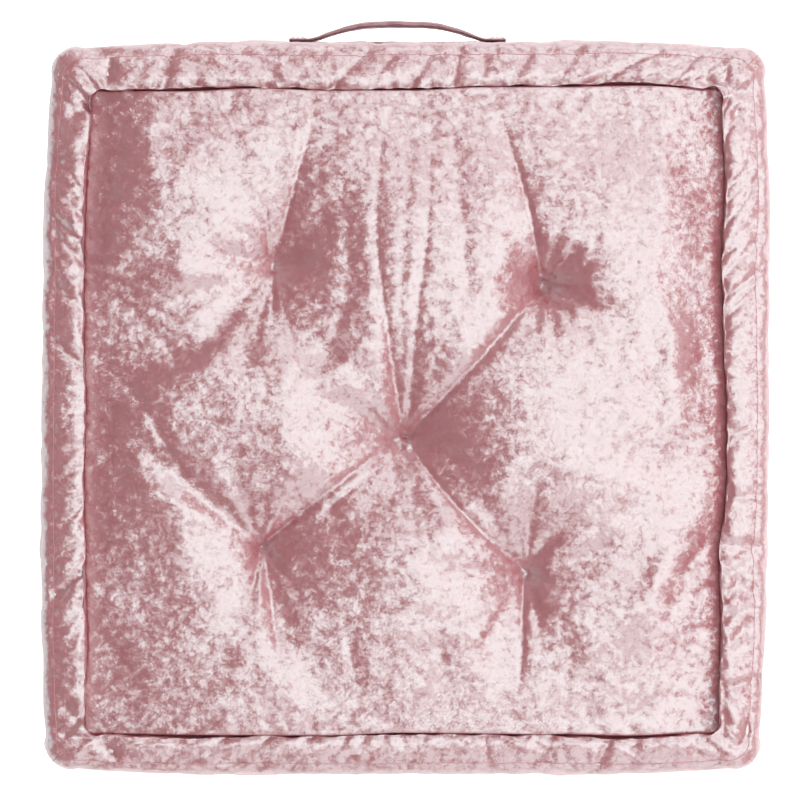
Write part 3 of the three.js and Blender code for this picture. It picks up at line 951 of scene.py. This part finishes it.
grooveRow, seamRow, sideRow = grooveRing * fine, seamRing * fine, sideRing * fine
flipSide = len(rings) - 1
shapeTop(top, 1.0)
ease = np.linspace(1, 0, grooveRow + 1)[:, None] ** 0.6
shapeTop(rings[: grooveRow + 1], ease)
rings[0] = gridOutline(top)
normals = latticeNormals(rings)
puckerRolls(rings, normals)
tuckCorners(rings, normals)
rippleBoxing(rings, normals)
for points in (top, rings, bottom):
    wander(points)
normals = latticeNormals(rings)
report("folds")


def place(points):
    moved = points.copy()
    moved[..., :2] += cushionCentre
    return moved


def gridPiece(name, grid, extraRings, flip):
    # a panel: a grid and the rings that carry its edge on
    side = len(grid)
    count = side * side
    index = np.arange(count).reshape(side, side)
    more = count + np.arange(extraRings.shape[0] * extraRings.shape[1])
    rows = np.concatenate([[gridOutline(index)], more.reshape(extraRings.shape[:2])])
    faces = np.concatenate([gridFaces(side, side, flip=True), loopFaces(rows)])
    if flip:
        faces = faces[:, ::-1]
    points = np.concatenate([grid.reshape(-1, 3), extraRings.reshape(-1, 3)])
    return makeMesh(name, place(points), faces, velvet)


def softPiece(piece, node):
    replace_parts(piece, node)
    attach(piece, "cushion")


topPanel = gridPiece("top_panel_cover", top, rings[1: seamRow + 1], False)
bottomPanel = gridPiece("bottom_panel_cover", bottom, rings[flipSide - seamRow: -1][::-1], True)
boxingRows = rings[seamRow: flipSide - seamRow + 1: 2, ::2]
quarter = boxingRows.shape[1] // 4
for side, name in enumerate(["front", "right", "back", "left"]):
    columns = np.arange(side * quarter, (side + 1) * quarter + 1) % boxingRows.shape[1]
    strip = boxingRows[:, columns]
    faces = gridFaces(strip.shape[0], strip.shape[1], flip=True)
    piece = makeMesh(f"boxing_{name}_cover", place(strip.reshape(-1, 3)), faces, velvet)
    softPiece(piece, "boxing_" + name)
softPiece(topPanel, "top_panel")
softPiece(bottomPanel, "bottom_panel")
report("cover pieces")

filling = {
    "underCover": 4 * mm,
    "underGroove": 5 * mm,
    "rollShare": 0.5,  # size of a rolled edge's filling against its cover
    "rollGap": 4,  # lattice rows between that filling and the stitching
    "bellyGap": 6,
    "bellyInset": 6 * mm,
}


def ringTube(name, first, last):
    # the filling of a rolled edge, drawn in from its cover
    rows = rings[first + filling["rollGap"]: last - filling["rollGap"] + 1: 2, ::2]
    middle = rows.mean(axis=0, keepdims=True)
    rows = middle + filling["rollShare"] * (rows - middle)
    index = np.arange(rows.shape[0] * rows.shape[1]).reshape(rows.shape[:2])
    faces = loopFaces(np.concatenate([index, index[:1]]))
    return makeMesh(name, place(rows.reshape(-1, 3)), faces, fibre)


def coreBody(name):
    topInside, bottomInside = top[::2, ::2].copy(), bottom[::2, ::2].copy()
    topInside[..., 2] -= filling["underCover"]
    bottomInside[..., 2] += filling["underCover"] / 2
    first, last = sideRow + filling["bellyGap"], flipSide - sideRow - filling["bellyGap"]
    belly = rings[first: last + 1: 2, ::2].copy()
    belly[..., :2] *= 1 - filling["bellyInset"] / halfSize
    necks = rings[[grooveRow, flipSide - grooveRow], ::2].copy()
    necks[0, :, 2] -= filling["underGroove"]
    necks[1, :, 2] += filling["underGroove"]
    ends = [gridOutline(topInside)], [gridOutline(bottomInside)]
    shell = np.concatenate([ends[0], necks[:1], belly, necks[1:], ends[1]])
    points, faces, _ = latticeMesh(topInside, shell, bottomInside)
    return makeMesh(name, place(points), faces, fibre)


upperFill = ringTube("top_edge_filling", grooveRow, sideRow)
lowerFill = ringTube("bottom_edge_filling", flipSide - sideRow, flipSide - grooveRow)
softPiece(coreBody("core_filling"), "fill_core")
softPiece(upperFill, "top_edge_fill")
softPiece(lowerFill, "bottom_edge_fill")
report("filling")


def tubes(name, paths, radius, material, sides=6, closed=False):
    # round threads along routes of points, as one mesh
    points, faces, first = [], [], 0
    turns = np.arange(sides) / sides * 2 * math.pi
    for path in paths:
        path = np.asarray(path, float)
        ahead = np.roll(path, -1, 0) - np.roll(path, 1, 0) if closed else np.gradient(path, axis=0)
        ahead /= np.linalg.norm(ahead, axis=1, keepdims=True)
        steep = np.abs(ahead[:, 2:3]) > 0.8
        upright = np.where(steep, [[0.0, 1.0, 0.0]], [[0.0, 0.0, 1.0]])
        across = np.cross(ahead, upright)
        across /= np.linalg.norm(across, axis=1, keepdims=True)
        upright = np.cross(across, ahead)
        cosines, sines = np.cos(turns)[None, :, None], np.sin(turns)[None, :, None]
        circle = across[:, None] * cosines + upright[:, None] * sines
        points.append((path[:, None] + radius * circle).reshape(-1, 3))
        index = first + np.arange(len(path) * sides).reshape(len(path), sides)
        faces.append(tubeFaces(np.concatenate([index, index[:1]]) if closed else index))
        if not closed:
            for row, flip in ((index[0], 1), (index[-1], -1)):
                for k in range(1, sides // 2):
                    cap = [row[(sides - k + 1) % sides], row[k - 1], row[k], row[sides - k]]
                    faces.append(np.array([cap[::flip]]))
        first += len(path) * sides
    return makeMesh(name, place(np.concatenate(points)), np.concatenate(faces), material)


def onCushion(piece, slot, *nodes):
    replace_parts(piece, *nodes)
    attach(piece, "cushion")


threads = {
    "heavy": 0.4 * mm,
    "radius": 0.28 * mm,
    "inGroove": 2 * mm,
    "stitch": 4.2 * mm,
    "rise": 0.2 * mm,  # how far each stitch rises and dips
    "proud": 0.2 * mm,  # height of the corner seams above the cloth
}


def stitchedLoop(name, row, radius, lift, material):
    # a seam's thread, rising and dipping with each stitch
    route = rings[row].copy()
    route[:, 2] += lift
    steps = np.linalg.norm(np.roll(route, -1, 0) - route, axis=1)
    walked = np.cumsum(steps)
    count = round(walked[-1] / threads["stitch"])
    wave = np.cos(walked / walked[-1] * count * 2 * math.pi)
    route = route + normals[row] * (threads["rise"] * wave[:, None])
    piece = tubes(name + "_line", [route], radius, material, 5, True)
    onCushion(piece, "thread", name)


for part, way in (("top", 1), ("bottom", -1)):
    seam, groove, boxingLine = [
        row if way > 0 else flipSide - row for row in (seamRow, grooveRow, sideRow)
    ]
    inGroove = way * threads["inGroove"]
    stitchedLoop(part + "_seam_thread", seam, threads["radius"], 0.0, pinkThread)
    # the groove threads carry the painted groove shade
    stitchedLoop(part + "_roll_stitch_panel", groove, threads["heavy"], inGroove, grooveShadeThread)
    stitchedLoop(part + "_roll_stitch_boxing", boxingLine, threads["radius"], 0.0, grooveShadeThread)

ringCount = rings.shape[1]
for number, name in enumerate(["front_left", "front_right", "back_right", "back_left"]):
    column = number * ringCount // 4
    route = (rings + normals * threads["proud"])[seamRow: flipSide - seamRow + 1, column]
    piece = tubes(f"corner_seam_{name}_line", [route], threads["radius"], pinkThread, 5)
    onCushion(piece, "thread", "corner_seam_" + name)

tuftKnot = {
    "bar": 8.5 * mm,
    "aside": 3 * mm,
    "radius": 0.65 * mm,
    "lift": 0.9 * mm,
    "dip": 1.6 * mm,  # how far the ends of the bar go down into the cloth
}


def gridHeight(grid, xy):
    flat = grid.reshape(-1, 3)
    return flat[np.linalg.norm(flat[:, :2] - xy, axis=1).argmin(), 2]


def barRoute(xy, z, way):
    # the short stitch that shows on a panel, dipping into it at both ends
    s = np.linspace(-1, 1, 9)
    x = xy[0] + tuftKnot["aside"] + s * tuftKnot["bar"] / 2
    height = z + way * (tuftKnot["lift"] - tuftKnot["dip"] * s ** 4)
    return np.stack([x, x * 0 + xy[1], height], axis=1)


for name in tuftNames:
    xy = tufts[name] - cushionCentre
    upper, lower = gridHeight(top, xy), gridHeight(bottom, xy)
    shaft = np.linspace((*xy, lower), (*xy, upper), 6)
    routes = [shaft, barRoute(xy, upper, 1), barRoute(xy, lower, -1)]
    piece = tubes(f"tuft_cord_{name}_line", routes, tuftKnot["radius"], pinkThread)
    onCushion(piece, "thread", "tuft_cord_" + name)
report("threads")

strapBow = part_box("handle_strap")
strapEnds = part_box("handle_end_left"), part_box("handle_end_right")
strap = {
    "middle": (strapBow[0].x + strapBow[1].x) / 2,
    "halfLength": (strapEnds[1][1].x - strapEnds[0][0].x) / 2,
    "outer": strapBow[1].y - 1.6 * mm,
    "width": strapBow[1].z - strapBow[0].z,
    "thickness": 4.4 * mm,
    "endThickness": 2.2 * mm,
    "gap": 0.4 * mm,  # between the ends and the boxing
    "bowEnd": 61 * mm,
    "bowTop": 13 * mm,
    "bend": (38 * mm, 6 * mm),  # how the bow leaves its top and meets its end
    "steps": (8, 34, 16),
    "turnStart": 54 * mm,  # the cloth begins to follow the bow here
    "turnEnd": 34 * mm,
}
strapSection = {
    "sides": 28,
    "square": (0.55, 0.6),  # below 1 the section is squarer than an ellipse
    "sewnAt": 0.78,  # share of the half width
    "sewnWidth": 0.07,
    "sewnDepth": 0.45,
    "narrow": 0.04,  # share by which the bow is narrower than the ends
    "waveAcross": 9 * mm,
    "waves": ((13 * mm, 0.5 * mm), (6 * mm, 0.25 * mm)),  # size and height
    "droop": (30 * mm, 0.5 * mm),
}


def bezier(points, count):
    t = np.linspace(0, 1, count)[:, None]
    a, b, c, d = [np.array(p) for p in points]
    return a * (1 - t) ** 3 + 3 * b * t * (1 - t) ** 2 + 3 * c * t ** 2 * (1 - t) + d * t ** 3


def strapPlan():
    # x and y of the strap's middle line from its middle to its right end
    low = backEdge + strap["endThickness"] / 2 + strap["gap"]
    high = strap["outer"] - strap["thickness"] / 2
    bowEnd, bowTop = strap["bowEnd"], strap["bowTop"]
    topCount, bendCount, endCount = strap["steps"]
    leave, meet = strap["bend"]
    crown = np.stack([np.linspace(0, bowTop, topCount), np.full(topCount, high)], axis=1)
    bend = bezier([(bowTop, high), (leave, high), (bowEnd - meet, low), (bowEnd, low)], bendCount)
    end = np.linspace(bowEnd, strap["halfLength"], endCount)
    end = np.stack([end, np.full(endCount, low)], axis=1)
    return np.concatenate([crown[:-1], bend, end[1:]])


def softened(values, power):
    return np.sign(values) * np.abs(values) ** power


def strapRows(side):
    # the loops of points around the strap's padded section, from its middle to one end
    plan = strapPlan()
    ahead = np.gradient(plan, axis=0)
    ahead /= np.linalg.norm(ahead, axis=1, keepdims=True)
    outward = np.stack([-ahead[:, 1], ahead[:, 0]], axis=1)
    share = np.clip((plan[:, 1] - plan[-1, 1]) / (plan[0, 1] - plan[-1, 1]), 0, 1)
    half = (strap["endThickness"] + (strap["thickness"] - strap["endThickness"]) * share) / 2
    sides = strapSection["sides"]
    turns = np.arange(sides) / sides * 2 * math.pi
    flatness = softened(np.cos(turns), strapSection["square"][0])
    puff = softened(np.sin(turns), strapSection["square"][1])
    # a sewn line runs along both edges
    fromSeam = (np.abs(flatness) - strapSection["sewnAt"]) / strapSection["sewnWidth"]
    sewn = 1 - strapSection["sewnDepth"] * np.exp(-(fromSeam ** 2))
    droopSize, droopHeight = strapSection["droop"]
    rows = []
    for k, (x, y) in enumerate(plan):
        along, across = np.full(sides, x * side), flatness * strapSection["waveAcross"]
        wave = np.zeros(sides)
        for seed, (size, height) in enumerate(strapSection["waves"], 61):
            wave = wave + height * softNoise(along, across, size, seed)
        off = puff * half[k] * sewn + wave * share[k] ** 0.3
        px = strap["middle"] + side * (x + outward[k, 0] * off)
        py = y + outward[k, 1] * off
        droop = droopHeight * softNoise(np.array(x * side), np.array(0.0), droopSize, 63)
        halfWidth = strap["width"] / 2 * (1 - strapSection["narrow"] * share[k])
        rows.append(np.stack([px, py, middleZ + flatness * halfWidth + droop], axis=1))
    return np.array(rows)


def strapHalf(side, name):
    rows = strapRows(side)
    sides = rows.shape[1]
    index = np.arange(len(rows) * sides).reshape(len(rows), sides)
    last = index[-1]
    caps = [
        [last[k], last[k + 1], last[sides - k - 2], last[sides - k - 1]]
        for k in range(sides // 2 - 1)
    ]
    faces = np.concatenate([tubeFaces(index), np.array(caps)])
    if side < 0:
        faces = faces[:, ::-1]
    piece = makeMesh(name, rows.reshape(-1, 3), faces, strapShadeVelvet)
    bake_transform(piece)
    return piece


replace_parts(strapHalf(-1, "strap_left_half"), "handle_end_left", "handle_strap")
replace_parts(strapHalf(1, "strap_right_half"), "handle_end_right")

boxStitch = {
    "inner": 64 * mm,
    "outer": 73.5 * mm,
    "halfHeight": 8 * mm,
    "pitch": 3.5 * mm,
    "shown": (0.1, 0.85),  # start and end of the part of each pitch that shows
    "bow": 0.45 * mm,
    "radius": 0.32 * mm,
}


def strapStitching(side, name):
    # a sewn rectangle of separate stitches
    face = backEdge + strap["endThickness"] + strap["gap"]
    inner, outer, tall = boxStitch["inner"], boxStitch["outer"], boxStitch["halfHeight"]
    corners = np.array([(inner, -tall), (outer, -tall), (outer, tall), (inner, tall)])
    bow = np.sin(np.linspace(0, math.pi, 5)) * boxStitch["bow"]
    dashes = []
    for a, b in zip(corners, np.roll(corners, -1, 0)):
        count = round(np.linalg.norm(b - a) / boxStitch["pitch"])
        for n in range(count):
            shares = (n + np.linspace(*boxStitch["shown"], 5)) / count
            x, z = np.moveaxis(a + (b - a) * shares[:, None], 1, 0)
            x = strap["middle"] + side * x - cushionCentre[0]
            dashes.append(np.stack([x, face + bow - cushionCentre[1], middleZ + z], axis=1))
    piece = tubes(name + "_line", dashes, boxStitch["radius"], pinkThread, 5)
    onCushion(piece, "thread", name)


strapStitching(-1, "handle_stitch_left")
strapStitching(1, "handle_stitch_right")
report("strap")

studio = {
    "cameraHeight": 4.0,
    "frameWidth": 0.5545,  # metres across the picture at mid height
    "shift": (-3.8 * mm, 5.2 * mm),
    # place, size and radiance of each light
    "lights": {
        "key": ((1.0, 0.0, 2.5), (2.5, 4.5), 2.62),
        "back": ((0.75, 2.9, 1.75), (2.2, 2.6), 2.8),
        "front": ((0.75, -2.9, 1.75), (2.2, 2.6), 2.1),
        "rim": ((-3.2, 0.0, 0.3), (4.5, 0.7), 0.8),
    },
    "world": 0.2,
    "floorHalf": 6.0,
    "floorGap": 0.4 * mm,
    "sensor": 36,
}


def makeFloor():
    board = Board("studio_floor")
    speckle = board.noise(board.objectPlace(), 40.0, 3.0, 0.5)
    tint = board.mixed(speckle, colour(0.88, 0.88, 0.88), colour(0.92, 0.92, 0.92))
    material = board.finish({
        "Base Color": tint,
        "Roughness": 0.9,
        "IOR": 1.2,
        "Emission Color": colour(1.0, 1.0, 1.0),
        "Emission Strength": 0.9,
    })
    points = np.array([(-1, -1, 0), (1, -1, 0), (1, 1, 0), (-1, 1, 0)]) * studio["floorHalf"]
    points[:, 2] = cadLow.z - studio["floorGap"]
    floor = makeMesh("studio_floor", points, np.array([[0, 1, 2, 3]]), material, False)


def makeLights():
    world = bpy.data.worlds.new("studio")
    bpy.context.scene.world = world
    world.use_nodes = True
    background = world.node_tree.nodes["Background"]
    background.inputs["Color"].default_value = colour(1.0, 1.0, 1.0)
    background.inputs["Strength"].default_value = studio["world"]
    for name, (spot, size, radiance) in studio["lights"].items():
        data = bpy.data.lights.new(name, "AREA")
        data.shape = "RECTANGLE"
        data.size, data.size_y = size
        data.energy = radiance * data.size * data.size_y * math.pi
        light = bpy.data.objects.new(name, data)
        light.location = spot
        light.rotation_mode = "QUATERNION"
        aim = Vector((0, 0, middleZ)) - light.location
        light.rotation_quaternion = aim.to_track_quat("-Z", "Y")
        bpy.context.scene.collection.objects.link(light)


def makeCamera():
    data = bpy.data.cameras.new("camera")
    data.sensor_width = studio["sensor"]
    data.lens = studio["sensor"] * studio["cameraHeight"] / studio["frameWidth"]
    data.clip_end = 20
    camera = bpy.data.objects.new("camera", data)
    x, y = cushionCentre + studio["shift"]
    camera.location = (x, y, middleZ + studio["cameraHeight"])
    bpy.context.scene.collection.objects.link(camera)
    bpy.context.scene.camera = camera


makeFloor()
makeLights()
makeCamera()
bpy.context.scene.view_settings.view_transform = "Standard"
report("studio")
